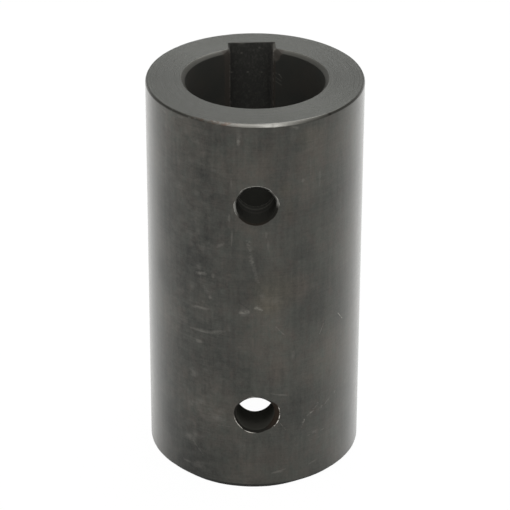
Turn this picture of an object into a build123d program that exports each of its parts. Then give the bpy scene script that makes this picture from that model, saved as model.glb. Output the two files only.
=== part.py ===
# A keyed coupling sleeve: one turned length of steel tube with a keyway
# along its bore and two cross holes in the wall opposite the keyway.
# It stands on its lower end face. The bore axis is +Z, the cross holes open
# towards -Y, and the keyway lies on the +Y side. All sizes are millimetres.

from build123d import *
import os

# Turned wall
outside_diameter = 50.0
bore_diameter = 32.0
length = 95.0

# Broken outer edges of the two end faces
upper_edge_chamfer = 0.5
lower_edge_chamfer = 1.0

# Lead-in at both mouths of the bore
mouth_width = 0.6
mouth_depth = 0.8

# Keyway, whose depth is cut into the bore wall at the middle of the key
keyway_width = 10.0
keyway_depth = 3.5
keyway_corner_radius = 0.3
keyway_turn = 2.2

# Filed edges where the keyway opens into the bore
left_edge_width = 1.2
left_edge_depth = 0.5
right_edge_width = 0.4
right_edge_depth = 0.3

# Cross holes, drilled through the wall on one side only
cross_hole_diameter = 9.0
upper_hole_from_top = 20.2
lower_hole_from_bottom = 20.3
cross_hole_edge_break = 0.4

# Sizes that follow from the driving ones
outside_radius = outside_diameter / 2
bore_radius = bore_diameter / 2
cross_hole_radius = cross_hole_diameter / 2
cross_hole_heights = [lower_hole_from_bottom, length - upper_hole_from_top]


def bore_wall_y(x):
    """Distance of the bore wall from the XZ plane at a sideways offset x."""
    return (bore_radius**2 - x**2) ** 0.5


with BuildPart() as sleeve:
    # Half of the wall's section, spun about the bore axis
    with BuildSketch(Plane.XZ):
        with BuildLine():
            Polyline(
                (bore_radius, mouth_depth),
                (bore_radius + mouth_width, 0),
                (outside_radius - lower_edge_chamfer, 0),
                (outside_radius, lower_edge_chamfer),
                (outside_radius, length - upper_edge_chamfer),
                (outside_radius - upper_edge_chamfer, length),
                (bore_radius + mouth_width, length),
                (bore_radius, length - mouth_depth),
                close=True,
            )
        make_face()
    revolve(axis=Axis.Z)

    # Keyway, cut from end to end with its floor corners rounded
    key_side = keyway_width / 2
    left_edge_x = key_side + left_edge_width
    right_edge_x = key_side + right_edge_width
    keyway_floor = bore_radius + keyway_depth
    with BuildSketch(Plane.XY.rotated((0, 0, keyway_turn))):
        with BuildLine():
            FilletPolyline(
                (-key_side, bore_wall_y(key_side) + left_edge_depth),
                (-key_side, keyway_floor),
                (key_side, keyway_floor),
                (key_side, bore_wall_y(key_side) + right_edge_depth),
                radius=keyway_corner_radius,
            )
            Polyline(
                (key_side, bore_wall_y(key_side) + right_edge_depth),
                (right_edge_x, bore_wall_y(right_edge_x)),
                (-left_edge_x, bore_wall_y(left_edge_x)),
                (-key_side, bore_wall_y(key_side) + left_edge_depth),
            )
        make_face()
    extrude(amount=length, mode=Mode.SUBTRACT)

    # Cross holes, from the outside as far as the bore, each with a broken outer edge
    for height in cross_hole_heights:
        with Locations(Plane(origin=(0, -outside_radius, height), z_dir=(0, -1, 0))):
            Hole(cross_hole_radius, depth=outside_radius)
        hole_mouth = edges(Select.LAST).sort_by(Axis.Y)[0]
        chamfer(hole_mouth, length=cross_hole_edge_break)

os.makedirs("parts", exist_ok=True)
sleeve.part.label = "coupling_sleeve"
export_step(sleeve.part, "parts/coupling_sleeve.step")
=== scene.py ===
# A keyed coupling sleeve standing on its lower end: one turned length of steel
# tube with a keyway down its bore and two cross holes in the wall opposite.
# Its shape is worked out by one Geometry Nodes tree from the sizes below, and
# its black oxide finish by one material that reads the masks the tree leaves.
import bpy
import math
from mathutils import Matrix, Vector


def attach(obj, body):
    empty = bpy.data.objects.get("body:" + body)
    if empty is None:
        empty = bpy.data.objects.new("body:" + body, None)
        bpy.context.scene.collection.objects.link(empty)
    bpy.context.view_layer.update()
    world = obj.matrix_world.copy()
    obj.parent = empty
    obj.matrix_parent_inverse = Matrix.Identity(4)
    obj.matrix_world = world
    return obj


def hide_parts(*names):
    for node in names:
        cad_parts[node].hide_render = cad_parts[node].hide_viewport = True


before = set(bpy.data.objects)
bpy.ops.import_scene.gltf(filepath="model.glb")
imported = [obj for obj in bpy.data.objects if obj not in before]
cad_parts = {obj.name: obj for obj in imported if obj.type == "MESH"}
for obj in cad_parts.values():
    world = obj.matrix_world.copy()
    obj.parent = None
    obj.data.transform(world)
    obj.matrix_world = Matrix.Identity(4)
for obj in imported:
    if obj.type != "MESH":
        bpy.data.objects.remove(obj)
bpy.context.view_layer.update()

MM = 0.001

# The sleeve's sizes in millimetres, which the tree takes as its inputs
SLEEVE_SIZES = {
    "Outside Diameter": 50.0,
    "Bore Diameter": 32.0,
    "Length": 95.0,
    "Upper Edge Chamfer": 0.5,
    "Lower Edge Chamfer": 1.0,
    "Mouth Width": 0.6,
    "Mouth Depth": 0.8,
    "Keyway Width": 10.0,
    "Keyway Depth": 3.5,
    "Keyway Corner": 0.3,
    "Left Edge Width": 1.2,
    "Left Edge Depth": 0.5,
    "Right Edge Width": 0.4,
    "Right Edge Depth": 0.3,
    "Cross Hole Diameter": 9.0,
    "Upper Hole From Top": 20.2,
    "Lower Hole From Bottom": 20.3,
    "Hole Edge Break": 0.3,
    "Arris Rounding": 0.08,
    "Hole Ridge Height": 0.06,
}
BARREL_RADIUS = SLEEVE_SIZES["Outside Diameter"] / 2
BORE_RADIUS = SLEEVE_SIZES["Bore Diameter"] / 2
HALF_HEIGHT = SLEEVE_SIZES["Length"] / 2
KEYWAY_TURN = math.radians(2.2)
# Distance from one ridge in the upper hole to the next
RIDGE_SPACING = 1.75
# The filed edges and the lead-in never get narrower than this
LEAST_WIDTH = 0.12
# A rounded corner's middle lies this share of its radius along one side and back from the other
ALONG_CORNER, BACK_FROM_CORNER = 0.7071, 0.2929
WEAR_SEED = 7.0

# Colours of the finish, as red, green and blue; some of them are painted light, shade or highlights, as said where
# they are used
COLOURS = {
    "oxide": (0.0457, 0.0455, 0.0390),
    "warm oxide": (0.0480, 0.0443, 0.0370),
    "green oxide": (0.0438, 0.0460, 0.0390),
    "pinkish oxide": (0.0500, 0.0443, 0.0376),
    "brown stain": (0.055, 0.0440, 0.0355),
    "olive stain": (0.060, 0.0530, 0.0392),
    "slate stain": (0.0398, 0.0412, 0.0376),
    "pale wear": (0.115, 0.110, 0.100),
    "pale scratch": (0.20, 0.19, 0.17),
    "dark scratch": (0.018, 0.017, 0.016),
    "darker face": (0.0385, 0.0398, 0.0360),
    "lighter face": (0.0500, 0.0513, 0.0466),
    "edge painted lighter at the front": (0.066, 0.064, 0.058),
    "edge painted darker at the sides": (0.042, 0.041, 0.037),
    "edge arris, worn and painted highlight": (0.145, 0.142, 0.133),
    "rubbed edge and painted highlight": (0.162, 0.159, 0.149),
    "brown edge": (0.064, 0.043, 0.033),
    "edge bump": (0.018, 0.016, 0.014),
    "pale nick": (0.17, 0.165, 0.153),
    "dark nick": (0.024, 0.022, 0.020),
    "painted shade on the lower edge": (0.012, 0.0115, 0.0105),
    "bore mouth": (0.062, 0.061, 0.056),
    "worn arris and painted highlight": (0.15, 0.147, 0.137),
    "darker bore": (0.0215, 0.022, 0.0195),
    "lighter bore": (0.0265, 0.0245, 0.021),
    "bore scratch": (0.11, 0.104, 0.094),
    "painted light deep inside": (0.056, 0.056, 0.048),
    "darker keyway": (0.024, 0.0237, 0.0215),
    "lighter keyway": (0.046, 0.044, 0.040),
    "keyway speck": (0.095, 0.090, 0.082),
    "keyway side painted light": (0.060, 0.056, 0.050),
    "filed edge": (0.036, 0.030, 0.025),
    "filed pocket": (0.052, 0.046, 0.040),
    "keyway arris painted highlight": (0.25, 0.235, 0.21),
    "lower hole": (0.068, 0.0665, 0.0585),
    "upper hole": (0.029, 0.0288, 0.025),
    "hole ridge": (0.095, 0.093, 0.084),
    "hole rim": (0.026, 0.0248, 0.022),
    "hole rust": (0.054, 0.037, 0.027),
    "hole glint": (0.72, 0.69, 0.64),
}


# Sums in node trees ---------------------------------------------------------

class Measure:
    """A number that a node tree works out at every point, written as a sum."""

    def __init__(self, bench, socket):
        self.bench = bench
        self.socket = socket

    def __add__(self, other):
        return self.bench.math("ADD", self, other)

    def __radd__(self, other):
        return self.bench.math("ADD", other, self)

    def __sub__(self, other):
        return self.bench.math("SUBTRACT", self, other)

    def __rsub__(self, other):
        return self.bench.math("SUBTRACT", other, self)

    def __mul__(self, other):
        return self.bench.math("MULTIPLY", self, other)

    def __rmul__(self, other):
        return self.bench.math("MULTIPLY", other, self)

    def __truediv__(self, other):
        return self.bench.math("DIVIDE", self, other)

    def __neg__(self):
        return self.bench.math("MULTIPLY", self, -1.0)


class Bench:
    """One node tree that is being put together."""

    def __init__(self, tree):
        self.tree = tree

    def feed(self, socket, value):
        """Links a value from another node to a socket, or sets the socket to a plain value."""
        if isinstance(value, Measure):
            value = value.socket
        if isinstance(value, bpy.types.NodeSocket):
            self.tree.links.new(value, socket)
        else:
            socket.default_value = value

    def node(self, kind, inputs=None, **settings):
        """Adds a node, sets it up and feeds its inputs, which go by name or number."""
        made = self.tree.nodes.new(kind)
        for name, value in settings.items():
            setattr(made, name, value)
        for socket, value in (inputs or {}).items():
            self.feed(made.inputs[socket], value)
        return made

    def math(self, operation, *values, clamp=False):
        made = self.node("ShaderNodeMath", operation=operation, use_clamp=clamp)
        for socket, value in zip(made.inputs, values):
            self.feed(socket, value)
        return Measure(self, made.outputs[0])

    def sine(self, value):
        return self.math("SINE", value)

    def cosine(self, value):
        return self.math("COSINE", value)

    def root(self, value):
        return self.math("SQRT", value)

    def bearing(self, across, along):
        """The angle from along towards across."""
        return self.math("ARCTAN2", across, along)

    def smaller(self, one, other):
        return self.math("MINIMUM", one, other)

    def larger(self, one, other):
        return self.math("MAXIMUM", one, other)

    def above(self, value, limit):
        """1 where value is over limit, else 0."""
        return self.math("GREATER_THAN", value, limit)

    def ramp(self, value, start, end, low=0.0, high=1.0, smooth=False):
        """Rises from low to high while value goes from start to end, and stays level outside."""
        made = self.node("ShaderNodeMapRange", {0: value, 1: start, 2: end, 3: low, 4: high},
                         interpolation_type="SMOOTHSTEP" if smooth else "LINEAR")
        return Measure(self, made.outputs[0])

    def blend(self, one, other, share):
        return one + (other - one) * share

    def point(self, x, y, z):
        return self.node("ShaderNodeCombineXYZ", {0: x, 1: y, 2: z}).outputs[0]

    def split(self, vector):
        made = self.node("ShaderNodeSeparateXYZ", {0: vector})
        return [Measure(self, socket) for socket in made.outputs]

    def vector(self, operation, *values):
        made = self.node("ShaderNodeVectorMath", operation=operation)
        for socket, value in zip(made.inputs, values):
            self.feed(socket, value)
        if operation in ("DOT_PRODUCT", "LENGTH"):
            return Measure(self, made.outputs["Value"])
        return made.outputs["Vector"]

    def noise(self, vector, scale, seed, detail=2.0, roughness=0.5, distortion=0.0):
        made = self.node("ShaderNodeTexNoise", {"Vector": vector, "W": seed, "Scale": scale,
                                                "Detail": detail, "Roughness": roughness,
                                                "Distortion": distortion}, noise_dimensions="4D")
        return Measure(self, made.outputs[0])

    def colour(self, one, other, share):
        """Goes from one colour to the other as share rises. A colour may be given by its name."""
        one, other = [(*COLOURS[each], 1) if isinstance(each, str) else each for each in (one, other)]
        return self.node("ShaderNodeMix", {0: share, 6: one, 7: other}, data_type="RGBA").outputs[2]


# The sleeve's shape ---------------------------------------------------------

# Columns of the skin, counted both ways round from the middle of the keyway's floor
FLOOR_END, CORNER_END, SIDE_END, EDGE_END, HALF_ROUND = 13, 15, 23, 27, 180
# Rows of the skin, counted both ways from the middle of the outer wall to the middle of the bore
WALL_LOW, WALL_HIGH, WALL_HOLD, WALL_END = 12, 36, 43, 44
FACE_START, FACE_END, MOUTH_END = 51, 57, 63
# Rows of the bore, counted back from its middle
BORE_NEAR, BORE_HOLD, BORE_END = 39, 51, 52
HALF_LOOP = MOUTH_END + BORE_END
# Where the holes' patches sit in the skin, in columns and rows each side of their middle
PATCH_COLUMN, PATCH_ROW, PATCH_WIDE, PATCH_TALL = 181, 24, 19, 12
# Rings of a hole's patch, from the outer wall through the hole to the bore wall
RIM_START, RIM_END, HOLE_MIDDLE, HOLE_END, BREAK_END, PATCH_END = 6, 12, 18, 36, 38, 43


def climb(bench, row, stops):
    """Height at a row, in straight runs between stops of (row, height)."""
    height = stops[0][1]
    for (row_1, height_1), (row_2, height_2) in zip(stops, stops[1:]):
        height = height + (height_2 - height_1) * bench.ramp(row, row_1, row_2)
    return height


def outer_stops(size, top):
    """Row stops of the outer wall's upper half, up to the height top, counted from its middle."""
    middle, half = patch_place(size)
    return [(0, 0), (WALL_LOW, middle - half), (WALL_HIGH, middle + half),
            (WALL_HOLD, top - 0.2 * MM), (WALL_END, top)]


def bore_stops(size, top):
    """Row stops of the bore's upper half, close together where the keyway's edges are dressed."""
    middle, half = patch_place(size)
    return [(0, 0), (WALL_LOW, middle - half), (WALL_HIGH, middle + half),
            (BORE_NEAR, top - 3.6 * MM), (BORE_HOLD, top - 0.15 * MM), (BORE_END, top)]


def patch_place(size):
    """Height of the holes' patches from the sleeve's middle, and half their height."""
    middle = size["Length"] / 2 - (size["Upper Hole From Top"] + size["Lower Hole From Bottom"]) / 2
    return middle, size["Cross Hole Diameter"]


def patch_side(bench, size, side):
    """Angle from the keyway's middle to where the bore starts beside it. Side is 1 right, 0 left."""
    width = bench.blend(size["Left Edge Width"], size["Right Edge Width"], side)
    return bench.math("ARCSINE", (size["Keyway Width"] / 2 + width) / (size["Bore Diameter"] / 2))


def broken_edge(bench, row, start, end, first_run, second_run, soft):
    """How far the rows start to end go along two faces whose shared edge is broken by a flat.

    Each arris of the flat is rounded by soft over two rows."""
    long = bench.root(first_run * first_run + second_run * second_run)
    over = first_run / long
    fall = second_run / long
    leg_1 = bench.ramp(row, start, start + 1) * soft
    leg_2 = bench.ramp(row, start + 1, start + 2) * soft
    flat = bench.ramp(row, start + 2, end - 2)
    leg_3 = bench.ramp(row, end - 2, end - 1) * soft
    leg_4 = bench.ramp(row, end - 1, end) * soft
    first = ((0.75 + 0.25 * over) * leg_1 + (0.25 + 0.75 * over) * leg_2
             + (first_run - 2 * over * soft) * flat + 0.75 * over * leg_3 + 0.25 * over * leg_4)
    second = (0.25 * fall * leg_1 + 0.75 * fall * leg_2 + (second_run - 2 * fall * soft) * flat
              + (0.25 + 0.75 * fall) * leg_3 + (0.75 + 0.25 * fall) * leg_4)
    return first, second


def swell(bench, angle, middle_degrees, reach_degrees):
    """1 at an angle round a hole or rim, falling to 0 at reach on both sides."""
    off = bench.cosine(angle - math.radians(middle_degrees))
    return bench.ramp(off, math.cos(math.radians(reach_degrees)), 1.0, smooth=True)


def between(bench, value, low, high):
    """1 where value lies from low to high, else 0."""
    return bench.above(value, low - 0.5) * bench.above(high + 0.5, value)


def sleeve_skin(bench, size):
    """The sleeve's whole skin as one sheet, rolled round and closed, with room left for the holes."""
    across, down = HALF_ROUND * 2, HALF_LOOP * 2
    sheet = bench.node("GeometryNodeMeshGrid", {"Vertices X": across + 1, "Vertices Y": down + 1})
    index = Measure(bench, bench.node("GeometryNodeInputIndex").outputs[0])
    column = bench.math("FLOOR", (index + 0.5) / (down + 1))
    row = index - column * (down + 1)

    far_side = bench.above(column, HALF_ROUND)
    side = 1 - 2 * far_side
    near = 1 - far_side
    half_column = bench.smaller(column, across - column)
    lower = bench.above(row, HALF_LOOP)
    top = 1 - lower
    half_row = bench.smaller(row, down - row)
    from_bore = HALF_LOOP - half_row

    outside = size["Outside Diameter"] / 2
    bore = size["Bore Diameter"] / 2
    half_length = size["Length"] / 2
    floor = bore + size["Keyway Depth"]
    corner = size["Keyway Corner"]

    # The filed keyway edges open out under the upper end face, the right one into a small pocket
    nominal = bench.smaller(climb(bench, half_row, outer_stops(size, half_length)),
                            climb(bench, from_bore, bore_stops(size, half_length)))
    below_face = (half_length - nominal) / MM
    pocket = bench.ramp(below_face, 2.1, 0.9) * 0.8
    pocket = bench.root(pocket * (2 - pocket))
    flare = bench.blend(0.4 * MM, 0.6 * MM, near) * bench.ramp(below_face, 0.55, 0.0) * top
    key_side = size["Keyway Width"] / 2 + flare
    ear = pocket * (0.9 * MM * near + 0.1 * MM) * top
    edge_width = bench.blend(size["Left Edge Width"], size["Right Edge Width"], near) + ear
    edge_depth = bench.blend(size["Left Edge Depth"], size["Right Edge Depth"], near) + ear * 0.5

    edge_x = key_side + edge_width
    edge_y = bench.root(bore * bore - edge_x * edge_x)
    side_y = bench.root(bore * bore - key_side * key_side) + edge_depth
    turn_1 = bench.ramp(half_column, FLOOR_END, FLOOR_END + 1)
    turn_2 = bench.ramp(half_column, FLOOR_END + 1, CORNER_END)
    u = ((key_side - corner) * bench.ramp(half_column, 0, FLOOR_END) + corner * (ALONG_CORNER * turn_1)
         + corner * (BACK_FROM_CORNER * turn_2) + edge_width * bench.ramp(half_column, SIDE_END, EDGE_END))
    v = (floor - corner * (BACK_FROM_CORNER * turn_1) - corner * (ALONG_CORNER * turn_2)
         - (floor - corner - side_y) * bench.ramp(half_column, CORNER_END, SIDE_END)
         - (side_y - edge_y) * bench.ramp(half_column, SIDE_END, EDGE_END))
    inner = bench.root(u * u + v * v)
    start = bench.math("ARCSINE", edge_x / bore)
    angle = side * (bench.bearing(u, v) + (math.pi - start) * bench.ramp(half_column, EDGE_END, HALF_ROUND))
    angle = angle - KEYWAY_TURN

    # Wear: the turned edges are rubbed unevenly and carry a few small nicks. The upper chamfer
    # is widest at the front, the lower one runs up steeply there
    ring = bench.point(bench.sine(angle), bench.cosine(angle), lower * 5)
    rub = bench.noise(ring, 7.0, WEAR_SEED, detail=4.0, roughness=0.6)
    chip = bench.ramp(bench.noise(ring, 16.0, WEAR_SEED + 3, detail=3.0), 0.6, 0.78)
    chamfer = bench.blend(size["Upper Edge Chamfer"], size["Lower Edge Chamfer"], lower)
    front = swell(bench, angle, 174, 42)
    foot = swell(bench, angle, 187, 34)
    chamfer = chamfer * (0.86 + 0.24 * rub + 0.3 * chip * top + 0.35 * front * top)
    chamfer_in = chamfer * (1 - 0.5 * top * (1 - front) - 0.55 * lower * foot)
    rounding = size["Arris Rounding"] * (0.5 + rub + 0.9 * chip)
    wall_top = half_length - chamfer - rounding
    risen, inset = broken_edge(bench, half_row, WALL_END, FACE_START, chamfer, chamfer_in, rounding)
    outer_height = climb(bench, half_row, outer_stops(size, wall_top)) + risen

    # Lead-in at the bore's mouth, which fades out where the keyway is cut through it
    reach = bench.ramp((inner - bore) / size["Mouth Width"], 0.0, 1.0, 1.0, 0.0)
    to_side = bench.sine(angle)
    mouth_width = size["Mouth Width"] * reach * (0.85 + 0.3 * rub) * (1 + 0.45 * (to_side * to_side))
    mouth_width = bench.larger(mouth_width, LEAST_WIDTH * MM)
    mouth_depth = bench.larger(size["Mouth Depth"] * reach, LEAST_WIDTH * MM)
    soft = bench.smaller(mouth_width * 0.3, 0.08 * MM)
    inward, dropped = broken_edge(bench, half_row, FACE_END, MOUTH_END, mouth_width, mouth_depth, soft)
    bore_top = half_length - mouth_depth - soft
    bore_fall = bore_top - climb(bench, from_bore, bore_stops(size, bore_top))

    face_outer = outside - chamfer_in - rounding
    face_inner = inner + mouth_width + soft
    crossed = (bench.ramp(half_row, FACE_START, FACE_START + 1) * 0.02
               + bench.ramp(half_row, FACE_START + 1, FACE_END - 1) * 0.96
               + bench.ramp(half_row, FACE_END - 1, FACE_END) * 0.02)
    radius = outside - inset - (face_outer - face_inner) * crossed - inward
    height = half_length + (1 - 2 * lower) * (outer_height - dropped - bore_fall)
    place = bench.point(radius * bench.sine(angle), radius * bench.cosine(angle), height)

    # Masks for the finish
    in_wall = bench.above(half_row, FACE_END + 1.5)
    at_filed = in_wall * between(bench, half_column, SIDE_END, EDGE_END)
    kept = bench.node("GeometryNodeCaptureAttribute", domain="POINT")
    kept.capture_items.new("FLOAT", "Column")
    kept.capture_items.new("FLOAT", "Row")
    bench.feed(kept.inputs[0], sheet.outputs[0])
    bench.feed(kept.inputs[1], column)
    bench.feed(kept.inputs[2], row)
    whole = 1 - between(bench, half_column, SIDE_END, EDGE_END - 1)
    masked = with_masks(bench, kept.outputs[0], {
        "edge_band": between(bench, half_row, WALL_END + 1, FACE_START - 1),
        "edge_arris": between(bench, half_row, FACE_START - 3, FACE_START - 1),
        "end_face": between(bench, half_row, FACE_START, FACE_END),
        "mouth_band": between(bench, half_row, FACE_END + 1, MOUTH_END - 1) * whole,
        "mouth_arris": between(bench, half_row, FACE_END + 1, FACE_END + 2) * whole,
        "bore_wall": bench.above(half_row, MOUTH_END - 1.5),
        "keyway_wall": in_wall * bench.above(SIDE_END + 0.5, half_column),
        "keyway_side": in_wall * between(bench, half_column, FLOOR_END + 1, SIDE_END - 1) * near,
        "keyway_arris": in_wall * between(bench, half_column, SIDE_END, SIDE_END),
        "filed_edge": at_filed,
        "filed_pocket": at_filed * pocket * top * near,
    })
    placed = bench.node("GeometryNodeSetPosition", {"Geometry": masked, "Position": place})

    # Leave out the faces that the holes' patches take the place of
    kept_column = Measure(bench, kept.outputs[1])
    kept_row = Measure(bench, kept.outputs[2])
    kept_half = bench.smaller(kept_row, down - kept_row)
    in_columns = bench.above(PATCH_WIDE, bench.math("ABSOLUTE", kept_column - PATCH_COLUMN))
    off_outer = bench.math("ABSOLUTE", kept_half - PATCH_ROW)
    off_bore = bench.math("ABSOLUTE", HALF_LOOP - kept_half - PATCH_ROW)
    in_rows = bench.above(PATCH_TALL, bench.smaller(off_outer, off_bore))
    cut = bench.node("GeometryNodeDeleteGeometry",
                     {"Geometry": placed.outputs[0], "Selection": in_columns * in_rows}, domain="FACE")
    return cut.outputs[0]


def with_masks(bench, geometry, masks):
    """Stores each mask under its name, one value at every corner point."""
    for name, value in masks.items():
        kept = bench.node("GeometryNodeStoreNamedAttribute",
                          {"Geometry": geometry, "Name": name, "Value": value},
                          data_type="FLOAT", domain="POINT")
        geometry = kept.outputs[0]
    return geometry


def cross_hole(bench, size, upper):
    """One cross hole: a patch of the outer wall, the hole through it and a patch of the bore wall."""
    around = 4 * (PATCH_WIDE + PATCH_TALL)
    sheet = bench.node("GeometryNodeMeshGrid", {"Vertices X": around + 1, "Vertices Y": PATCH_END + 1})
    index = Measure(bench, bench.node("GeometryNodeInputIndex").outputs[0])
    step = bench.math("FLOOR", (index + 0.5) / (PATCH_END + 1))
    ring = index - step * (PATCH_END + 1)

    outside = size["Outside Diameter"] / 2
    bore = size["Bore Diameter"] / 2
    half_length = size["Length"] / 2
    hole = size["Cross Hole Diameter"] / 2
    patch_middle, patch_half = patch_place(size)
    if upper:
        middle = size["Length"] - size["Upper Hole From Top"]
    else:
        middle = size["Lower Hole From Bottom"]

    # Once round the edge of the patch, in columns and rows of the skin
    first, second = 2 * PATCH_WIDE, 2 * (PATCH_WIDE + PATCH_TALL)
    third = second + 2 * PATCH_WIDE
    a = (first * bench.ramp(step, 0, first) - first * bench.ramp(step, second, third)) - PATCH_WIDE
    b = (2 * PATCH_TALL * bench.ramp(step, first, second)
         - 2 * PATCH_TALL * bench.ramp(step, third, around)) - PATCH_TALL
    near = bench.above(-0.5, a)
    start = patch_side(bench, size, near)
    edge_angle = ((HALF_ROUND - PATCH_COLUMN) - a) * ((math.pi - start) / (HALF_ROUND - EDGE_END)) + KEYWAY_TURN
    edge_rise = patch_middle + b * (patch_half / PATCH_TALL)
    edge_height = half_length + (edge_rise if upper else -edge_rise)
    angle = bench.bearing(edge_height - middle, outside * bench.sine(edge_angle))

    # The drilled rim, dressed with a file where it was raised
    ring_point = bench.point(bench.sine(angle), bench.cosine(angle), 11.0 if upper else 17.0)
    rub = bench.noise(ring_point, 3.0, WEAR_SEED + 5, detail=4.0, roughness=0.6)
    if upper:
        crown = bench.smaller(1.5 * swell(bench, angle, 91, 62), 1.0)
        left = swell(bench, angle, 186, 32)
        right = swell(bench, angle, 17, 27)
        dull = swell(bench, angle, -10, 40)
        widen = 0.40 * crown + 0.26 * left + 0.26 * right + 0.22 * dull
        deepen = 0.30 * crown + 0.2 * left + 0.2 * right + 0.2 * dull
        # The crescents of the rim that get a painted highlight
        bright = bench.larger(crown, bench.larger(left, right))
        # Where the rim gets a faint painted glint
        line = 0.25 * bright
        rust = swell(bench, angle, 265, 55) * 0.5
    else:
        scoop = swell(bench, angle, -6, 60)
        burr = swell(bench, angle, 103, 14)
        below, left = swell(bench, angle, 265, 55), swell(bench, angle, 180, 50)
        widen = 0.95 * scoop + 0.3 * below + 0.25 * left + 0.1 * burr
        deepen = 0.5 * scoop + 0.2 * below + 0.2 * left
        # The burr on the rim gets a painted highlight
        bright = burr
        # Where the rim gets a painted glint
        line = bench.larger(swell(bench, angle, -12, 36), swell(bench, angle, 228, 48))
        line = bench.larger(bench.smaller(1.6 * line, 1.0), burr)
        rust = scoop
    break_wide = size["Hole Edge Break"] * (0.5 + 0.5 * rub) + widen * MM
    break_deep = size["Hole Edge Break"] * (0.5 + 0.5 * rub) + deepen * MM
    soft = bench.smaller(break_wide * 0.22, 0.12 * MM)
    inward, sunk = broken_edge(bench, ring, RIM_START, RIM_END, break_wide, break_deep, soft)
    inner_break = 0.22 * MM
    plain = outside - bore - break_deep - soft - inner_break
    depth = (sunk + plain * (0.46 * bench.ramp(ring, RIM_END, HOLE_MIDDLE)
                             + 0.54 * bench.ramp(ring, HOLE_MIDDLE, HOLE_END))
             + inner_break * bench.ramp(ring, HOLE_END, BREAK_END))
    rim = hole + break_wide + soft
    radius = rim - inward + inner_break * bench.ramp(ring, HOLE_END, BREAK_END)
    ridge = 0.0
    if upper:
        # The drill left low ridges near the inner end
        from_inside = (outside - bore - depth) / MM
        ripple = bench.cosine(from_inside * (2 * math.pi / RIDGE_SPACING)) * 0.5 + 0.5
        ridged = bench.ramp(from_inside, 4.8, 0.6)
        radius = radius - size["Hole Ridge Height"] * ripple * ridged * bench.ramp(from_inside, 0.1, 0.5)
        ridge = ridged * bench.ramp(ripple, 0.6, 1.0) * between(bench, ring, HOLE_MIDDLE, HOLE_END)
    away = outside - depth

    hole_angle = bench.math("ARCSINE", radius * bench.cosine(angle) / away)
    hole_height = middle + radius * bench.sine(angle)
    joined_out = bench.ramp(ring, 0, RIM_START)
    joined_in = bench.ramp(ring, BREAK_END, PATCH_END)
    patch_angle = bench.blend(bench.blend(edge_angle, hole_angle, joined_out), edge_angle, joined_in)
    height = bench.blend(bench.blend(edge_height, hole_height, joined_out), edge_height, joined_in)
    place = bench.point(away * bench.sine(patch_angle), -away * bench.cosine(patch_angle), height)

    on_rim = between(bench, ring, RIM_START + 1, RIM_END - 1)
    masked = with_masks(bench, sheet.outputs[0], {
        "hole_rim": on_rim,
        "hole_bright": on_rim * bright,
        "hole_line": between(bench, ring, RIM_START + 1, RIM_START + 1) * line,
        "hole_rust": between(bench, ring, RIM_START + 1, RIM_END) * rust,
        "hole_wall": between(bench, ring, RIM_END, BREAK_END),
        "hole_ridge": bench.smaller(ridge + between(bench, ring, HOLE_END, BREAK_END) * 0.8, 1.0),
        "bore_wall": bench.above(ring, BREAK_END - 0.5),
    })
    placed = bench.node("GeometryNodeSetPosition", {"Geometry": masked, "Position": place})
    if upper:
        return placed.outputs[0]
    # The lower hole is wound round the other way, so its faces are turned to match the rest
    return bench.node("GeometryNodeFlipFaces", {0: placed.outputs[0]}).outputs[0]


# Wear on the barrel ---------------------------------------------------------

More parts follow.
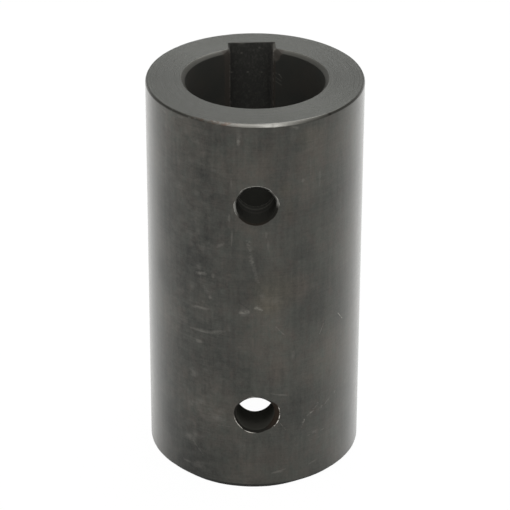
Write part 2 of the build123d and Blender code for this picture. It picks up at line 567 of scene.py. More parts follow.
# Rubbed, faded and stained places on the barrel: arc from the middle of the front and height,
# half width and half height, all in millimetres, lean in degrees and strength
PALE_PATCHES = [
    (-24.0, 93.4, 1.1, 0.5, 0, 0.7),
    (-23.4, 90.1, 0.8, 0.8, 0, 0.7),
    (-20.2, 92.6, 0.6, 1.5, 0, 0.4),
    (-18.5, 94.0, 1.2, 0.4, 0, 0.5),
    (-13.4, 89.3, 2.4, 0.7, 4, 0.45),
    (-10.6, 87.5, 2.6, 0.6, 0, 0.4),
    (-9.6, 82.9, 1.4, 0.6, 0, 0.3),
    (-4.1, 90.9, 0.5, 1.1, 0, 1.0),
    (-3.9, 93.0, 0.8, 1.6, 0, 0.7),
    (-2.6, 93.2, 0.6, 1.0, 0, 0.45),
    (8.6, 93.7, 1.4, 0.5, -20, 0.6),
    (8.2, 91.6, 0.9, 1.6, 0, 0.3),
    (14.0, 90.5, 3.6, 4.5, 0, 0.22),
    (-23.6, 82.4, 0.7, 3.6, 0, 0.4),
    (-19.0, 76.6, 1.3, 1.5, 0, 0.45),
    (-19.6, 73.4, 0.6, 1.4, 0, 0.35),
    (-5.6, 80.5, 0.35, 1.3, 0, 0.45),
    (-6.1, 71.6, 0.35, 1.5, 0, 0.5),
    (10.8, 80.3, 0.45, 0.6, 0, 0.6),
    (15.2, 79.8, 0.4, 2.2, 0, 0.4),
    (12.6, 83.0, 0.4, 2.2, 0, 0.25),
    (2.3, 67.7, 0.35, 1.0, 0, 0.3),
    (2.7, 64.9, 0.35, 1.2, 0, 0.3),
    (-5.5, 66.8, 0.3, 2.2, 0, 0.25),
    (-8.2, 64.4, 1.1, 0.5, 35, 0.5),
    (-15.6, 65.5, 2.0, 0.8, 0, 0.6),
    (-13.6, 66.6, 0.6, 1.4, 0, 0.35),
    (-13.7, 58.4, 0.8, 1.0, 0, 0.55),
    (-13.0, 56.2, 1.6, 0.55, 12, 1.0),
    (-9.9, 56.2, 0.5, 0.8, 0, 0.45),
    (-11.4, 51.9, 1.1, 0.6, 0, 0.7),
    (-10.7, 50.4, 0.5, 0.7, 0, 0.6),
    (-15.2, 52.2, 1.1, 0.8, 0, 0.35),
    (0.7, 48.5, 1.2, 0.8, -20, 0.8),
    (-2.7, 47.6, 1.6, 0.7, -12, 0.8),
    (1.3, 51.6, 0.9, 1.4, 0, 0.6),
    (3.9, 50.6, 2.6, 1.4, 0, 0.45),
    (-13.4, 47.0, 2.5, 0.5, 5, 0.7),
    (-12.0, 41.1, 4.4, 0.5, 3, 0.5),
    (-8.7, 41.9, 2.0, 0.4, 8, 0.4),
    (-6.0, 43.4, 0.6, 1.2, -30, 0.4),
    (-13.9, 39.0, 1.9, 0.8, 10, 0.6),
    (-13.5, 38.1, 1.2, 0.5, 0, 0.6),
    (-22.0, 41.6, 6.5, 3.6, 0, 0.2),
    (-15.4, 28.8, 1.5, 0.8, 0, 1.0),
    (-26.8, 29.2, 1.6, 2.4, 0, 0.35),
    (-15.4, 20.7, 2.6, 0.9, 22, 0.7),
    (-12.6, 21.9, 1.6, 0.7, 0, 0.5),
    (-12.4, 17.6, 4.6, 5.4, 0, 0.28),
    (-8.2, 20.6, 1.0, 1.5, 0, 0.5),
    (-8.6, 18.3, 2.0, 0.9, 0, 0.8),
    (-8.0, 12.4, 1.2, 0.7, 0, 0.4),
    (-16.4, 11.2, 2.1, 0.8, 12, 1.0),
    (-14.9, 12.5, 0.9, 1.0, 0, 0.6),
    (-14.5, 4.4, 2.4, 0.7, 0, 0.9),
    (-17.4, 4.0, 1.4, 0.4, 0, 0.5),
    (-3.5, 11.5, 3.4, 2.2, 0, 0.25),
    (8.8, 35.2, 0.5, 1.5, 0, 0.35),
    (11.2, 39.5, 1.2, 0.6, 0, 0.3),
    (15.0, 34.4, 0.8, 0.6, 0, 0.35),
    (19.4, 43.2, 0.7, 0.6, 0, 0.45),
    (24.6, 55.2, 2.0, 1.2, -35, 0.3),
    (25.0, 37.0, 1.2, 2.4, 0, 0.25),
    (26.2, 22.0, 1.6, 1.5, 0, 0.5),
    (6.0, 25.3, 1.6, 0.35, -8, 0.45),
    (14.9, 13.0, 0.9, 0.45, 0, 0.5),
    (5.3, 4.1, 1.6, 0.4, 3, 0.7),
    (14.3, 4.6, 1.2, 0.35, 10, 0.5),
]
BROWN_PATCHES = [
    (2.0, 84.6, 3.6, 5.0, 0, 0.45),
    (3.2, 89.6, 1.8, 2.4, 0, 0.4),
    (9.6, 85.0, 2.6, 3.0, 0, 0.35),
    (14.5, 88.5, 4.5, 5.0, 0, 0.3),
    (7.6, 71.2, 3.0, 2.4, 0, 0.45),
    (-1.5, 68.6, 2.6, 1.6, 0, 0.35),
    (5.0, 58.4, 3.6, 2.0, 0, 0.35),
    (9.8, 52.6, 4.4, 4.2, 0, 0.6),
    (5.0, 31.6, 2.9, 4.8, 0, 0.6),
    (5.8, 39.0, 1.2, 2.6, 0, 0.4),
    (9.6, 32.4, 1.8, 1.8, 0, 0.35),
    (12.9, 27.8, 1.8, 2.0, 0, 0.45),
    (-17.8, 28.0, 1.4, 2.2, 0, 0.5),
    (-8.4, 20.4, 1.6, 2.0, 0, 0.4),
    (23.2, 23.6, 1.6, 2.0, 0, 0.4),
    (4.6, 8.6, 3.4, 4.2, 0, 0.5),
    (-2.4, 7.0, 3.2, 1.4, 0, 0.35),
    (-19.0, 44.4, 2.6, 0.9, 22, 0.45),
]
OLIVE_PATCHES = [
    (4.4, 52.8, 6.6, 6.4, 0, 0.6),
    (2.6, 49.4, 4.0, 2.8, 0, 0.5),
    (6.4, 78.6, 1.8, 2.6, 0, 0.5),
    (7.4, 73.6, 1.4, 3.4, 0, 0.4),
    (12.6, 91.0, 5.0, 3.0, 0, 0.3),
]
SLATE_PATCHES = [
    (-24.0, 69.6, 4.4, 7.4, 0, 0.55),
    (-25.6, 53.0, 3.2, 5.0, 0, 0.6),
    (-18.6, 60.4, 3.6, 3.0, 0, 0.35),
    (-15.4, 87.0, 2.4, 1.8, 0, 0.45),
    (-12.2, 81.8, 2.2, 2.2, 0, 0.45),
    (-18.0, 80.4, 2.0, 1.2, 0, 0.4),
    (-12.0, 50.6, 3.4, 1.4, 0, 0.3),
    (-6.0, 50.6, 1.6, 2.6, 0, 0.35),
    (-10.2, 32.4, 3.0, 2.4, 0, 0.3),
    (-12.5, 25.8, 1.1, 1.7, 0, 0.55),
    (-23.8, 12.6, 4.5, 5.0, 0, 0.35),
    (-13.0, 8.0, 3.0, 1.8, 0, 0.35),
    (10.2, 62.4, 3.6, 2.4, 0, 0.4),
    (16.8, 66.8, 2.4, 3.6, 0, 0.35),
    (10.4, 70.6, 2.6, 5.0, 0, 0.25),
    (9.0, 13.6, 1.8, 0.6, -8, 0.4),
    (25.6, 9.0, 3.0, 6.5, 0, 0.3),
]
# Fine scratches on the barrel: from and to as arc and height, width, strength and share broken off
PALE_SCRATCHES = [
    (-1.7, 66.0, -0.9, 60.6, 1.4, 0.16, 0.5),
    (-0.9, 60.6, 0.6, 55.2, 1.2, 0.11, 0.45),
    (-3.7, 47.4, -1.8, 47.8, 1.0, 0.4, 0.5),
    (0.1, 48.8, 1.3, 48.3, 1.0, 0.42, 0.45),
    (21.3, 21.5, 19.0, 20.3, 1.0, 0.42, 0.72),
    (19.2, 20.3, 15.9, 18.7, 0.9, 0.4, 0.75),
    (15.6, 20.4, 13.7, 18.6, 1.0, 0.4, 0.72),
    (13.7, 18.6, 11.8, 17.2, 0.8, 0.36, 0.72),
    (12.0, 17.4, 11.3, 15.3, 0.6, 0.36, 0.6),
    (21.8, 42.4, 23.5, 40.3, 0.24, 0.7, 0.1),
    (17.0, 41.5, 15.9, 39.2, 0.3, 0.35, 0.3),
    (4.6, 43.7, 6.8, 41.0, 0.4, 0.18, 0.45),
    (-3.0, 25.9, 3.4, 25.9, 0.22, 0.16, 0.6),
    (3.4, 25.9, 7.4, 24.9, 0.26, 0.14, 0.5),
    (5.6, 17.9, 7.2, 15.5, 0.2, 0.25, 0.4),
    (-10.5, 16.6, -5.6, 16.6, 0.25, 0.14, 0.5),
    (9.4, 12.4, 18.4, 12.7, 0.25, 0.3, 0.65),
    (9.4, 11.0, 17.0, 10.9, 0.25, 0.3, 0.7),
    (4.0, 3.9, 7.2, 4.6, 0.35, 0.16, 0.4),
    (-16.0, 41.0, -12.0, 40.8, 0.4, 0.2, 0.5),
    (-15.6, 10.4, -12.8, 7.4, 0.28, 0.14, 0.3),
    (-5.4, 68.4, -5.6, 64.6, 0.22, 0.12, 0.4),
]
DARK_SCRATCHES = [
    (17.3, 42.2, 16.0, 38.8, 0.26, 0.55, 0.2),
    (16.6, 42.0, 15.4, 38.8, 0.22, 0.35, 0.3),
    (21.4, 42.6, 23.1, 40.2, 0.2, 0.5, 0.3),
    (-3.5, 49.9, -1.6, 48.6, 0.26, 0.6, 0.2),
    (-15.9, 9.9, -13.0, 7.0, 0.2, 0.4, 0.3),
    (-15.6, 5.0, -15.6, 2.0, 0.3, 0.4, 0.2),
]
# Chatter marks on the bore right of the keyway, as arc from the middle of the rear and height
BORE_SCRATCHES = [
    (4.7, 89.3, 6.0, 88.8, 0.3, 0.5, 0.2),
    (6.0, 88.8, 6.6, 88.0, 0.3, 0.5, 0.2),
    (5.0, 88.0, 6.4, 87.2, 0.3, 0.4, 0.2),
    (5.0, 87.0, 6.5, 86.2, 0.3, 0.4, 0.2),
]
# Light specks on the keyway's floor, across from its middle and height, as in the tables above
KEYWAY_PATCHES = [
    (-4.6, 87.4, 0.5, 0.28, 0, 0.9),
    (-0.7, 87.4, 0.4, 0.24, 0, 0.8),
    (2.5, 87.3, 0.4, 0.24, 0, 0.8),
    (-2.2, 92.3, 0.4, 0.35, 0, 0.7),
    (2.0, 93.6, 0.4, 0.35, 0, 0.7),
    (-2.2, 94.7, 1.1, 0.25, 0, 0.8),
]

# Patches finer than this are left to the finish, the others are kept in the mesh
FINE_PATCH = 0.6


def mark_group(name, kind, inputs):
    """A new node group of one kind of tree, with measures going in and one mask coming out."""
    tree = bpy.data.node_groups.new(name, kind)
    for label, sort in inputs.items():
        tree.interface.new_socket(label, in_out="INPUT", socket_type="NodeSocket" + sort)
    tree.interface.new_socket("Mask", in_out="OUTPUT", socket_type="NodeSocketFloat")
    given = tree.nodes.new("NodeGroupInput")
    out = tree.nodes.new("NodeGroupOutput")
    return tree, Bench(tree), given.outputs, out.inputs[0]


def patch_group(kind):
    """A soft-edged patch on the unrolled barrel, whose edge a tear moves in or out."""
    tree, bench, given, out = mark_group("Worn Patch", kind, {
        "Place": "Vector", "Middle": "Vector", "Wide Axis": "Vector", "Tall Axis": "Vector",
        "Tear": "Float", "Strength": "Float"})
    off = bench.vector("SUBTRACT", given["Place"], given["Middle"])
    wide = bench.vector("DOT_PRODUCT", off, given["Wide Axis"])
    tall = bench.vector("DOT_PRODUCT", off, given["Tall Axis"])
    far = bench.root(wide * wide + tall * tall)
    torn = far + Measure(bench, given["Tear"])
    bench.feed(out, bench.ramp(torn, 1.15, 0.2, smooth=True) * Measure(bench, given["Strength"]))
    return tree


def patches(bench, kind, group, place, rows, tear=0.0):
    """All patches of one table together."""
    total = 0.0
    for across, up, wide, tall, lean, strength in rows:
        made = bench.node(kind, node_tree=group)
        cosine, sine = math.cos(math.radians(lean)), math.sin(math.radians(lean))
        values = {"Place": place, "Middle": (across, up, 0), "Wide Axis": (cosine / wide, sine / wide, 0),
                  "Tall Axis": (-sine / tall, cosine / tall, 0), "Tear": tear, "Strength": strength}
        for label, value in values.items():
            bench.feed(made.inputs[label], value)
        total = total + Measure(bench, made.outputs[0])
    return bench.smaller(total, 1.0)


def barrel_wear(bench, geometry):
    """Keeps the broad patches of wear and stain in the mesh."""
    x, y, z = bench.split(bench.node("GeometryNodeInputPosition").outputs[0])
    unrolled = bench.point(bench.bearing(x, -y) * BARREL_RADIUS, z * (1 / MM), 0.0)
    group = patch_group("GeometryNodeTree")
    broad = [row for row in PALE_PATCHES if min(row[2], row[3]) >= FINE_PATCH]
    tables = {"pale_wear": broad, "brown_stain": BROWN_PATCHES, "olive_stain": OLIVE_PATCHES,
              "slate_stain": SLATE_PATCHES}
    return with_masks(bench, geometry, {name: patches(bench, "GeometryNodeGroup", group, unrolled, rows)
                                        for name, rows in tables.items()})


def scratch_group():
    """A fine line between two places on the unrolled barrel, broken off where the grain is low."""
    tree, bench, given, out = mark_group("Fine Scratch", "ShaderNodeTree", {
        "Place": "Vector", "From": "Vector", "To": "Vector", "Width": "Float", "Grain": "Float",
        "Broken": "Float", "Strength": "Float"})
    off = bench.vector("SUBTRACT", given["Place"], given["From"])
    run = bench.vector("SUBTRACT", given["To"], given["From"])
    along = bench.math("DIVIDE", bench.vector("DOT_PRODUCT", off, run),
                       bench.vector("DOT_PRODUCT", run, run), clamp=True)
    scaled = bench.node("ShaderNodeVectorMath", {"Vector": run, "Scale": along}, operation="SCALE")
    aside = bench.vector("LENGTH", bench.vector("SUBTRACT", off, scaled.outputs["Vector"]))
    half = Measure(bench, given["Width"]) * 0.5
    line = bench.ramp(aside, half * 1.6, half * 0.2, smooth=True)
    limit = 0.3 + Measure(bench, given["Broken"]) * 0.36
    whole = bench.ramp(Measure(bench, given["Grain"]) + 0.2 * (line - 1), limit - 0.07, limit + 0.09)
    bench.feed(out, line * whole * Measure(bench, given["Strength"]))
    return tree


def sleeve_tree(finish):
    """The Geometry Nodes tree that turns the sizes into the finished sleeve."""
    tree = bpy.data.node_groups.new("Coupling Sleeve", "GeometryNodeTree")
    bench = Bench(tree)
    tree.interface.new_socket("Sleeve", in_out="OUTPUT", socket_type="NodeSocketGeometry")
    for name in SLEEVE_SIZES:
        tree.interface.new_socket(name, in_out="INPUT", socket_type="NodeSocketFloat")
    given = tree.nodes.new("NodeGroupInput")
    size = {name: Measure(bench, given.outputs[name]) for name in SLEEVE_SIZES}
    shapes = [sleeve_skin(bench, size), cross_hole(bench, size, True), cross_hole(bench, size, False)]
    joined = bench.node("GeometryNodeJoinGeometry")
    for shape in shapes:
        bench.feed(joined.inputs[0], shape)
    welded = bench.node("GeometryNodeMergeByDistance", {"Geometry": joined.outputs[0], "Distance": 0.002 * MM})
    outward = bench.node("GeometryNodeFlipFaces", {0: welded.outputs[0]})
    smooth = bench.node("GeometryNodeSetShadeSmooth", {0: barrel_wear(bench, outward.outputs[0])})
    real = bench.node("GeometryNodeRealizeInstances", {0: smooth.outputs[0]})
    coated = bench.node("GeometryNodeSetMaterial", {"Geometry": real.outputs[0], "Material": finish})
    out = tree.nodes.new("NodeGroupOutput")
    bench.feed(out.inputs[0], coated.outputs[0])
    return tree


def make_sleeve(finish):
    """Runs the tree once and keeps its result as a plain mesh."""
    tree = sleeve_tree(finish)
    sleeve = bpy.data.objects.new("sleeve", bpy.data.meshes.new("sleeve_start"))
    bpy.context.scene.collection.objects.link(sleeve)
    modifier = sleeve.modifiers.new("Coupling Sleeve", "NODES")
    modifier.node_group = tree
    for item in tree.interface.items_tree:
        if item.in_out == "INPUT":
            modifier[item.identifier] = SLEEVE_SIZES[item.name] * MM
    depsgraph = bpy.context.evaluated_depsgraph_get()
    mesh = bpy.data.meshes.new_from_object(sleeve.evaluated_get(depsgraph),
                                           preserve_all_data_layers=True, depsgraph=depsgraph)
    mesh.name = "sleeve"
    mesh.materials.pop(index=0)
    sleeve.modifiers.remove(modifier)
    sleeve.data = mesh
    return sleeve


# The finish -----------------------------------------------------------------

def black_oxide():
    """Black oxide on turned steel, worn pale on its edges and stained brown in places, with painted light, shade and
    highlights on the barrel, edges, bore, keyway and holes.
    """
    material = bpy.data.materials.new("black_oxide")
    material.use_nodes = True
    tree = material.node_tree
    tree.nodes.clear()
    bench = Bench(tree)
    out = tree.nodes.new("ShaderNodeOutputMaterial")
    steel = bench.node("ShaderNodeBsdfPrincipled", {"Coat Roughness": 0.2})
    bench.feed(out.inputs["Surface"], steel.outputs[0])
    spot = bench.node("ShaderNodeTexCoord").outputs["Object"]

    def stretched(x, y, z):
        """The place on the sleeve in millimetres, drawn out along each axis."""
        scale = (x / MM, y / MM, z / MM)
        return bench.node("ShaderNodeMapping", {"Vector": spot, "Scale": scale}).outputs[0]

    x, y, z = bench.split(stretched(1, 1, 1))
    arc = bench.bearing(x, -y) * BARREL_RADIUS
    sideways = bench.math("ABSOLUTE", arc)
    unrolled = bench.point(arc, z, 0.0)

    def mask(name):
        return Measure(bench, bench.node("ShaderNodeAttribute", attribute_name=name).outputs["Fac"])

    def grain(stretch, scale, seed, detail=3.0, roughness=0.5, distortion=0.0):
        return bench.noise(stretched(*stretch), scale, seed, detail, roughness, distortion)

    edge_band, edge_arris, end_face, mouth_band, mouth_arris, bore_wall = [mask(name) for name in (
        "edge_band", "edge_arris", "end_face", "mouth_band", "mouth_arris", "bore_wall")]
    keyway_wall, keyway_side, keyway_arris, filed_edge, pocket = [mask(name) for name in (
        "keyway_wall", "keyway_side", "keyway_arris", "filed_edge", "filed_pocket")]
    hole_rim, hole_bright, hole_line, hole_rust, hole_wall, hole_ridge = [mask(name) for name in (
        "hole_rim", "hole_bright", "hole_line", "hole_rust", "hole_wall", "hole_ridge")]

    clouds = grain((1, 1, 0.8), 0.07, 1.0, detail=1.5)
    blotches = grain((1, 1, 1.1), 0.17, 8.0, distortion=0.3)
    mottle = grain((1, 1, 1.2), 0.42, 2.0, detail=5.0, roughness=0.68, distortion=0.2)
    level = grain((0.12, 0.12, 3.2), 1.0, 3.0, detail=4.0, roughness=0.65)
    upright = grain((1.1, 1.1, 0.09), 1.0, 4.0, detail=3.0)
    ragged = grain((1, 1, 1.6), 0.9, 5.0, detail=3.0, roughness=0.6, distortion=0.8)
    specks = grain((1, 1, 0.7), 2.6, 9.0, detail=2.0)
    hue = grain((1, 1, 0.7), 0.55, 10.0, detail=5.0, roughness=0.7)

    def near(place, reach, full):
        """1 within full of a place on the arc, falling to 0 at reach."""
        return bench.ramp(bench.math("ABSOLUTE", arc - place), reach, full)

    def coats(base, layers):
        """Lays colours over base one after the other, each with its share."""
        for colour, share in layers:
            base = bench.colour(base, colour, share)
        return base

    # Marks that the barrel carries, each in its place
    fine_scratch = scratch_group()

    def scratches(rows, place=unrolled):
        """All scratches of one table together."""
        total = 0.0
        for across, up, far_across, far_up, width, strength, broken in rows:
            made = bench.node("ShaderNodeGroup", node_tree=fine_scratch)
            values = {"Place": place, "From": (across, up, 0), "To": (far_across, far_up, 0),
                      "Width": width, "Grain": ragged, "Broken": broken, "Strength": strength}
            for label, value in values.items():
                bench.feed(made.inputs[label], value)
            total = total + Measure(bench, made.outputs[0])
        return bench.smaller(total, 1.0)

    flecks = bench.ramp(mottle * 0.6 + level * 0.25 + upright * 0.15, 0.4, 0.6)
    scuffed = near(-13.5, 8.0, 2.0) * bench.ramp(blotches, 0.42, 0.6)
    worn_patch = patch_group("ShaderNodeTree")
    fine = patches(bench, "ShaderNodeGroup", worn_patch, unrolled,
                   [row for row in PALE_PATCHES if min(row[2], row[3]) < FINE_PATCH], 2.0 * (ragged - 0.5))
    pale = (fine * (0.5 + 0.6 * flecks) + mask("pale_wear") * (0.1 + 1.2 * flecks) * 0.6
            + scuffed * bench.ramp(flecks, 0.35, 1.0) * 0.13)
    uneven = 0.2 + 0.9 * blotches + 0.9 * mottle
    brown, olive = mask("brown_stain") * uneven * 0.75, mask("olive_stain") * uneven
    slate = mask("slate_stain") * uneven * 0.6

    # Colour of the oxide on the barrel, with painted light: lighter towards its right side, and lighter below its
    # middle than above
    base = bench.colour("oxide", "warm oxide", bench.ramp(clouds, 0.40, 0.66))
    base = bench.colour("green oxide", base, bench.ramp(hue, 0.36, 0.52))
    base = coats(base, [("pinkish oxide", bench.ramp(hue, 0.52, 0.66)), ("brown stain", brown),
                        ("olive stain", olive), ("slate stain", slate)])
    near_front = bench.ramp(sideways, 70.0, 35.0)
    coarse = 0.7 + near_front * bench.ramp(arc, -12.0, 12.0, 0.3, -0.3)
    # Painted light: the last two terms of this sum lighten the barrel's lower half and its right side
    tone_and_painted_light = (0.75 + 1.35 * (clouds - 0.5) + 0.15 * (blotches - 0.5) + coarse * (mottle - 0.5)
            + 0.5 * (level - 0.5) + 0.5 * (upright - 0.5) + 0.5 * (specks - 0.5)
            + bench.ramp(z, 56.0, 44.0, -0.03, 0.05) + near_front * bench.ramp(arc, -14.0, 20.0, -0.08, 0.22))
    base = bench.node("ShaderNodeVectorMath", {"Vector": base, "Scale": bench.larger(tone_and_painted_light, 0.2)},
                      operation="SCALE").outputs[0]
    base = coats(base, [("pale wear", pale), ("pale scratch", scratches(PALE_SCRATCHES)),
                        ("dark scratch", scratches(DARK_SCRATCHES))])

    # The faced ends, with the turning tool's rings
    rings = bench.noise(bench.point(bench.root(x * x + y * y) * 8.0, z * 0.3, 0.0), 1.0, 6.0, 3.0, 0.6)
    base = bench.colour(base, bench.colour("darker face", "lighter face", mottle), end_face)

    # The outer edges: the upper one is rubbed at the front and nicked on its left, with painted light on it, lighter
    # at the front and darker at the sides, and a painted highlight over the rub; the lower one is painted dark as
    # shade
    upper_edge = edge_band * bench.above(z, HALF_HEIGHT)
    lower_edge = edge_band * bench.above(HALF_HEIGHT, z)
    # The rub at the front is partly wear and partly a painted highlight, and so is the lighter arris beside it
    rub = (0.14 * bench.ramp(arc, -16.0, -9.0) + 0.86 * bench.ramp(arc, -1.8, 3.4)
           - 0.4 * bench.ramp(arc, 3.5, 9.0) - 0.35 * bench.ramp(arc, 9.0, 13.0) - 0.25 * bench.ramp(arc, 14.0, 18.5))
    rubbed = rub * bench.blend(edge_arris, 1.0, bench.ramp(rub, 0.35, 0.8)) * (0.5 + ragged)
    worn_and_highlit_arris = (edge_arris * bench.ramp(sideways, 19.0, 13.0) * bench.ramp(arc, -4.0, 6.0, 0.4, 0.05)
                  * (0.5 + ragged))
    nicked, nicks = near(-15.5, 11.0, 6.0), upright * 0.4 + specks * 0.6
    # Painted light: the upper edge is lighter at the front and darker at the sides
    edge_painted_light = bench.colour("edge painted lighter at the front", "edge painted darker at the sides", bench.ramp(sideways, 9.0, 18.0))
    base = coats(base, [
        (edge_painted_light, upper_edge),
        ("edge arris, worn and painted highlight", upper_edge * worn_and_highlit_arris),
        ("rubbed edge and painted highlight", upper_edge * rubbed),
        ("brown edge", upper_edge * near(-10.0, 7.0, 4.0) * bench.ramp(ragged, 0.5, 0.6) * 0.8),
        ("edge bump", upper_edge * near(17.9, 0.6, 0.2) * 0.8),
        ("pale nick", upper_edge * nicked * bench.ramp(nicks, 0.56, 0.64) * 0.7),
        ("dark nick", upper_edge * nicked * bench.ramp(nicks, 0.44, 0.37) * 0.6),
        # Painted shade: the lower edge is darkened where it stands on the floor
        ("painted shade on the lower edge", lower_edge),
    ])

    # The bore with its lead-in
    bore_place = bench.point(bench.bearing(x, y) * BORE_RADIUS, z, 0.0)
    # Painted light: the bore is lighter further down, where it is in shade
    bore_colour = coats(bench.colour("darker bore", "lighter bore", bench.ramp(blotches, 0.4, 0.65)), [
        ("bore scratch", scratches(BORE_SCRATCHES, bore_place)), ("painted light deep inside", bench.ramp(z, 84.0, 60.0))])
    # The mouth's arris at the rear is partly worn and partly a painted highlight
    base = coats(base, [("bore mouth", mouth_band),
                        ("worn arris and painted highlight", mouth_arris * bench.ramp(y, 4.0, 13.0) * 0.35), (bore_colour, bore_wall)])

    # The keyway
    key_place = bench.point(x * math.cos(KEYWAY_TURN) + y * math.sin(KEYWAY_TURN), z, 0.0)
    key_specks = patches(bench, "ShaderNodeGroup", worn_patch, key_place, KEYWAY_PATCHES, 1.5 * (specks - 0.5))
    key_grain = bench.ramp(mottle * 0.3 + specks * 0.7, 0.47, 0.66)
    # Painted light: the keyway is lighter further down, where it is in shade
    key_colour = coats(bench.colour("darker keyway", "lighter keyway", key_grain), [
        ("painted light deep inside", bench.ramp(z, 80.0, 60.0)), ("keyway speck", key_specks)])
    base = coats(base, [
        (key_colour, keyway_wall),
        # Painted light on the keyway's right side wall, which is in shade
        ("keyway side painted light", keyway_side * 0.8),
        ("filed edge", filed_edge * 0.8),
        ("filed pocket", pocket * 0.8),
        # Painted highlight along the keyway's arris, broken up and brighter on its right
        ("keyway arris painted highlight", keyway_arris * bench.ramp(ragged, 0.47, 0.62) * bench.ramp(x, -2.0, 2.0, 0.5, 1.0)),
    ])

    # The cross holes
    # Painted glint: a thin bright line along part of each hole's rim
    painted_glint = bench.smaller(hole_line * bench.ramp(ragged * 0.5 + specks * 0.5, 0.42, 0.54) * 1.3, 1.0)
    # Painted light and shade: one wall finish, lighter in the lower hole and darker in the upper
    hole_wall_lit_and_shaded = bench.colour("lower hole", "upper hole", bench.above(z, HALF_HEIGHT))
    # The rims' bright crescents are partly worn and partly a painted highlight
    base = coats(base, [(hole_wall_lit_and_shaded, hole_wall), ("hole ridge", hole_ridge * 0.85), ("hole rim", hole_rim),
                        ("worn arris and painted highlight", hole_bright * 0.8), ("hole rust", hole_rust * 0.65), ("hole glint", painted_glint)])
    bench.feed(steel.inputs["Base Color"], base)

    # Sheen: the inside is dull, the barrel still holds some oil
    dull = bench.smaller(hole_wall + hole_rim * (1 - hole_bright) * (1 - painted_glint) + lower_edge, 1.0)
    inside = bench.smaller(bore_wall + keyway_wall + filed_edge + dull, 1.0)
    bench.feed(steel.inputs["Metallic"], 1.0 - 0.75 * inside + 0.65 * (dull - lower_edge) - 0.25 * lower_edge)
    rough = bench.ramp(mottle, 0.3, 0.7, 0.28, 0.36) + 0.1 * pale + 0.08 * end_face + 0.14 * mouth_band
    rough = bench.blend(bench.blend(rough + 0.1 * slate, 0.68, inside), 0.95, dull)
    bench.feed(steel.inputs["Roughness"], rough)
    bench.feed(steel.inputs["Coat Weight"], (1 - inside) * (0.5 - 0.3 * pale) * (1 - 0.7 * end_face)
               * (1 - 0.6 * edge_band) * (1 - 0.8 * mouth_band) * (1 - 0.5 * slate)
               * bench.ramp(mottle, 0.3, 0.7, 0.92, 1.08))

    # Relief: turning marks and pitting, in millimetres
    relief = ((0.004 * (level - 0.5) + 0.003 * (mottle - 0.5)) * (1 - end_face)
              + 0.13 * (rings - 0.5) * end_face + 0.02 * (mottle - 0.5) * inside)
    bump = bench.node("ShaderNodeBump", {"Strength": 1.0, "Distance": MM, "Height": relief})
    bench.feed(steel.inputs["Normal"], bump.outputs[0])
    return material


def white_sheet():
    """The floor: plain white card, also where the eye or a reflection looks at it."""
    material = bpy.data.materials.new("white_sheet")
    material.use_nodes = True
    tree = material.node_tree
    tree.nodes.clear()
    bench = Bench(tree)
    out = tree.nodes.new("ShaderNodeOutputMaterial")
    card = bench.node("ShaderNodeBsdfDiffuse", {"Color": (0.88, 0.88, 0.88, 1)})
    glow = bench.node("ShaderNodeEmission", {"Color": (1, 1, 1, 1), "Strength": 1.0})
    path = bench.node("ShaderNodeLightPath").outputs
    seen = bench.larger(Measure(bench, path["Is Camera Ray"]) * 0.98, Measure(bench, path["Is Glossy Ray"]) * 0.5)
    mixed = bench.node("ShaderNodeMixShader", {0: seen, 1: card.outputs[0], 2: glow.outputs[0]})
    bench.feed(out.inputs["Surface"], mixed.outputs[0])
    return material


# Stage, light and camera ----------------------------------------------------

def lay_floor():
    """A wide white sheet, a hair under the sleeve."""
    half, level = 3.0, -0.00002
    mesh = bpy.data.meshes.new("floor")
    mesh.from_pydata([(-half, -half, level), (half, -half, level), (half, half, level),
                      (-half, half, level)], [], [(0, 1, 2, 3)])
    mesh.materials.append(white_sheet())
    floor = bpy.data.objects.new("floor", mesh)
    bpy.context.scene.collection.objects.link(floor)


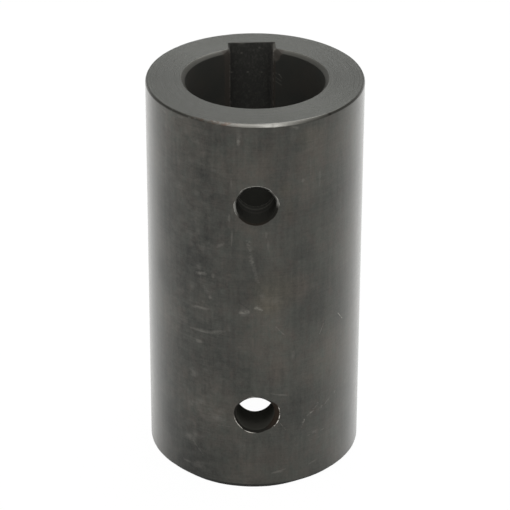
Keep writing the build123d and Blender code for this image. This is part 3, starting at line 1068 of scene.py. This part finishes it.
def hang_softbox(name, bearing, rise, away, wide, tall, watts):
    """A softbox aimed at the sleeve. Bearing and rise are in degrees, from the front towards the right."""
    lamp = bpy.data.lights.new(name, "AREA")
    lamp.shape = "RECTANGLE"
    lamp.size = wide
    lamp.size_y = tall
    lamp.energy = watts
    box = bpy.data.objects.new(name, lamp)
    bpy.context.scene.collection.objects.link(box)
    turn, lift = math.radians(bearing), math.radians(rise)
    aim = Vector((0, 0, 0.06))
    box.location = aim + away * Vector((math.sin(turn) * math.cos(lift), -math.cos(turn) * math.cos(lift),
                                        math.sin(lift)))
    box.rotation_euler = (aim - box.location).to_track_quat("-Z", "Y").to_euler()


def light_room():
    """A white room with soft light from four sides."""
    world = bpy.data.worlds.new("white_room")
    bpy.context.scene.world = world
    world.use_nodes = True
    bench = Bench(world.node_tree)
    background = world.node_tree.nodes["Background"]
    background.inputs["Color"].default_value = (1.0, 1.0, 0.965, 1)
    # The room's walls are dimmer than its ceiling
    rise = bench.split(bench.node("ShaderNodeTexCoord").outputs["Generated"])[2]
    bench.feed(background.inputs["Strength"], bench.ramp(rise, 0.3, 0.75, 0.62, 1.25, smooth=True))
    hang_softbox("front_softbox", -4, 62, 0.8, 0.55, 0.24, 1.6)
    hang_softbox("rear_softbox", 172, 58, 0.8, 0.30, 0.40, 2.4)
    hang_softbox("low_softbox", 178, 22, 0.40, 0.16, 0.09, 0.05)
    hang_softbox("right_softbox", 110, 60, 0.9, 0.4, 0.3, 1.8)


def set_camera():
    """The photograph's viewing place, worked out from the sleeve's own ellipses and edges."""
    camera = bpy.data.cameras.new("camera")
    camera.lens = 188.68
    camera.sensor_width = 36.0
    eye = bpy.data.objects.new("camera", camera)
    bpy.context.scene.collection.objects.link(eye)
    bearing, away, high = math.radians(-0.75), 0.5529, 0.35053
    heading, pitch, roll = math.radians(-0.761), math.radians(28.608), math.radians(0.194)
    spot = Matrix.Translation((away * math.sin(bearing), -away * math.cos(bearing), high))
    eye.matrix_world = (spot @ Matrix.Rotation(heading, 4, "Z") @ Matrix.Rotation(math.pi / 2 - pitch, 4, "X")
                        @ Matrix.Rotation(roll, 4, "Z"))
    bpy.context.scene.camera = eye


set_camera()
lay_floor()
light_room()
sleeve = make_sleeve(black_oxide())
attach(sleeve, "root")
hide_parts("coupling_sleeve")
bpy.context.scene.view_settings.view_transform = "Standard"
